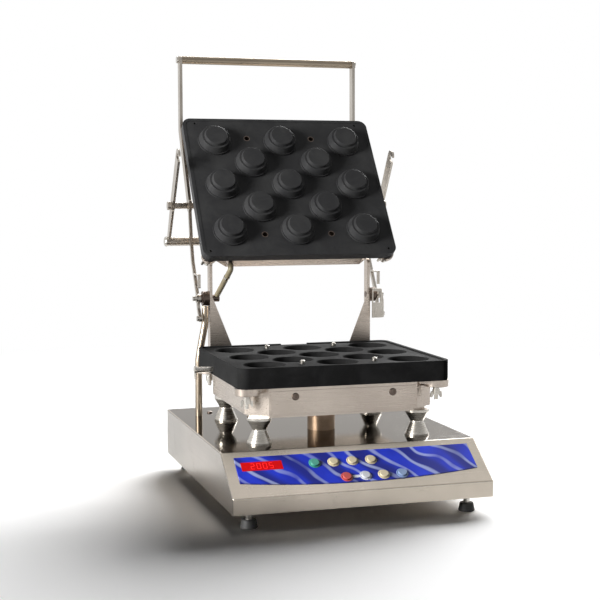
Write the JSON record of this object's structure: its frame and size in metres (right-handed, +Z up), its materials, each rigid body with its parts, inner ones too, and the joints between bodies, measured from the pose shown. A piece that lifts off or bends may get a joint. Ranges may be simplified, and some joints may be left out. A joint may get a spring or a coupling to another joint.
{
  "type": "tartlet shell maker",
  "caption": "countertop tartlet shell maker: control base, fixed lower heating plate with cavities, and a tilting upper plate with matching studs on a lever with a handle bar",
  "frame": {"origin": "middle of the bounding box, on the surface that the feet stand on", "axes": "+X to the right as seen from the control front, +Y to the rear, +Z up"},
  "size_m": [0.41, 0.5484, 0.7321],
  "materials": {
    "base_sheet": "fine brushed stainless sheet, near mirror on top",
    "heater_sheet": "brushed stainless sheet, warmed by heat",
    "lever_steel": "plain steel bar with a warm tarnish",
    "turned_steel": "bright turned and polished steel",
    "bronze_tube": "brown heat-tinted tube",
    "plate_black": "seasoned black cast plate, satin",
    "panel_print": "printed polyester keypad, soft blue",
    "display_red": "dark red display window",
    "key_green": "glossy button",
    "key_cream": "glossy button",
    "key_red": "glossy button",
    "key_white": "glossy button",
    "key_blue": "glossy button",
    "rubber_black": "matt moulded rubber",
    "hose_rubber": "dark olive sleeve",
    "inlet_black": "moulded black plastic",
    "board_green": "coated circuit board",
    "relay_grey": "moulded relay cases",
    "glass_wool": "pressed glass wool board",
    "element_steel": "heat-darkened tube",
    "core_steel": "varnished core"
  },
  "bodies": {
    "root": {"base_shell": "base_sheet", "base_floor": "base_sheet", "foot_pads": "rubber_black", "foot_studs": "turned_steel", "keypad_panel": "panel_print", "display_window": "display_red", "control_board": "board_green", "transformer": "core_steel", "power_relays": "relay_grey", "mains_inlet": "inlet_black", "support_columns": "turned_steel", "centre_column": "bronze_tube", "lower_tray": "heater_sheet", "lower_pan": "heater_sheet", "lower_carrier": "heater_sheet", "lower_plate": "plate_black", "cavity_plugs": "turned_steel", "locating_pins": "turned_steel", "lower_insulation": "glass_wool", "lower_element": "element_steel", "lower_wing_bolts": "turned_steel", "lower_wing_nuts": "turned_steel", "latch_pins": "turned_steel", "hinge_carrier": "heater_sheet", "left_upright": "heater_sheet", "right_upright": "heater_sheet", "cable_tube": "turned_steel", "case_screws": "turned_steel"},
    "pivots": {"pivot_bushes": "turned_steel", "pivot_bolts": "turned_steel"},
    "lever": {"left_lever_arm": "lever_steel", "right_lever_arm": "lever_steel", "handle_bar": "lever_steel", "lever_bolts": "turned_steel", "heel_bracket": "lever_steel", "head_hose": "hose_rubber", "hose_elbow": "turned_steel"},
    "trunnions": {"trunnion_pins": "lever_steel"},
    "head": {"upper_plate": "plate_black", "upper_pan": "heater_sheet", "upper_carrier": "heater_sheet", "upper_wing_bolts": "turned_steel", "upper_wing_nuts": "turned_steel", "head_brackets": "heater_sheet", "upper_element": "element_steel", "upper_insulation": "glass_wool", "guide_bushes": "turned_steel"},
    "clamp": {"left_clamp_link": "lever_steel", "right_clamp_link": "lever_steel", "clamp_bar": "lever_steel", "clamp_bolts": "turned_steel"},
    "rocker": {"switch_rocker": "inlet_black"},
    "key_top_1_body": {"key_top_1": "key_green"},
    "key_top_2_body": {"key_top_2": "key_cream"},
    "key_top_3_body": {"key_top_3": "key_cream"},
    "key_top_4_body": {"key_top_4": "key_cream"},
    "key_bottom_1_body": {"key_bottom_1": "key_red"},
    "key_bottom_2_body": {"key_bottom_2": "key_white"},
    "key_bottom_3_body": {"key_bottom_3": "key_cream"},
    "key_bottom_4_body": {"key_bottom_4": "key_blue"}
  },
  "joints": [
    {"name": "head_press", "type": "hinge", "parent": "root", "child": "pivots", "pos_m": [0, 0.12537, 0.3065], "axis": [1, 0, 0], "range_deg": [0, 6.51]},
    {"name": "head_lift", "type": "hinge", "parent": "pivots", "child": "lever", "pos_m": [0, 0.12537, 0.3065], "axis": [1, 0, 0], "range_deg": [0, 109.95]},
    {"name": "trunnion_tilt", "type": "hinge", "parent": "lever", "child": "trunnions", "pos_m": [0, 0.19378, 0.465], "axis": [1, 0, 0], "range_deg": [0, 15.79], "deforming": ["head_hose"]},
    {"name": "head_level", "type": "hinge", "parent": "trunnions", "child": "head", "pos_m": [0, 0.19378, 0.465], "axis": [1, 0, 0], "range_deg": [-6.56, 0], "deforming": ["head_hose"]},
    {"name": "clamp_swing", "type": "hinge", "parent": "lever", "child": "clamp", "pos_m": [0, 0.19378, 0.465], "axis": [1, 0, 0], "range_deg": [0, 52.9]},
    {"name": "power_switch", "type": "hinge", "parent": "root", "child": "rocker", "pos_m": [-0.13, 0.20178, 0.064], "axis": [1, 0, 0], "range_deg": [0, 18]},
    {"name": "key_top_1_press", "type": "slide", "parent": "root", "child": "key_top_1_body", "axis": [0, 0.5838, -0.8119], "range_m": [0, 0.0012], "stiffness_N_per_m": 100},
    {"name": "key_top_2_press", "type": "slide", "parent": "root", "child": "key_top_2_body", "axis": [0, 0.5838, -0.8119], "range_m": [0, 0.0012], "stiffness_N_per_m": 100},
    {"name": "key_top_3_press", "type": "slide", "parent": "root", "child": "key_top_3_body", "axis": [0, 0.5838, -0.8119], "range_m": [0, 0.0012], "stiffness_N_per_m": 100},
    {"name": "key_top_4_press", "type": "slide", "parent": "root", "child": "key_top_4_body", "axis": [0, 0.5838, -0.8119], "range_m": [0, 0.0012], "stiffness_N_per_m": 100},
    {"name": "key_bottom_1_press", "type": "slide", "parent": "root", "child": "key_bottom_1_body", "axis": [0, 0.5838, -0.8119], "range_m": [0, 0.0012], "stiffness_N_per_m": 100},
    {"name": "key_bottom_2_press", "type": "slide", "parent": "root", "child": "key_bottom_2_body", "axis": [0, 0.5838, -0.8119], "range_m": [0, 0.0012], "stiffness_N_per_m": 100},
    {"name": "key_bottom_3_press", "type": "slide", "parent": "root", "child": "key_bottom_3_body", "axis": [0, 0.5838, -0.8119], "range_m": [0, 0.0012], "stiffness_N_per_m": 100},
    {"name": "key_bottom_4_press", "type": "slide", "parent": "root", "child": "key_bottom_4_body", "axis": [0, 0.5838, -0.8119], "range_m": [0, 0.0012], "stiffness_N_per_m": 100}
  ],
  "couplings": [
    {"joint": "trunnion_tilt", "follows": "head_lift", "ratio": 0.14316},
    {"joint": "head_level", "follows": "head_press", "ratio": -1}
  ]
}
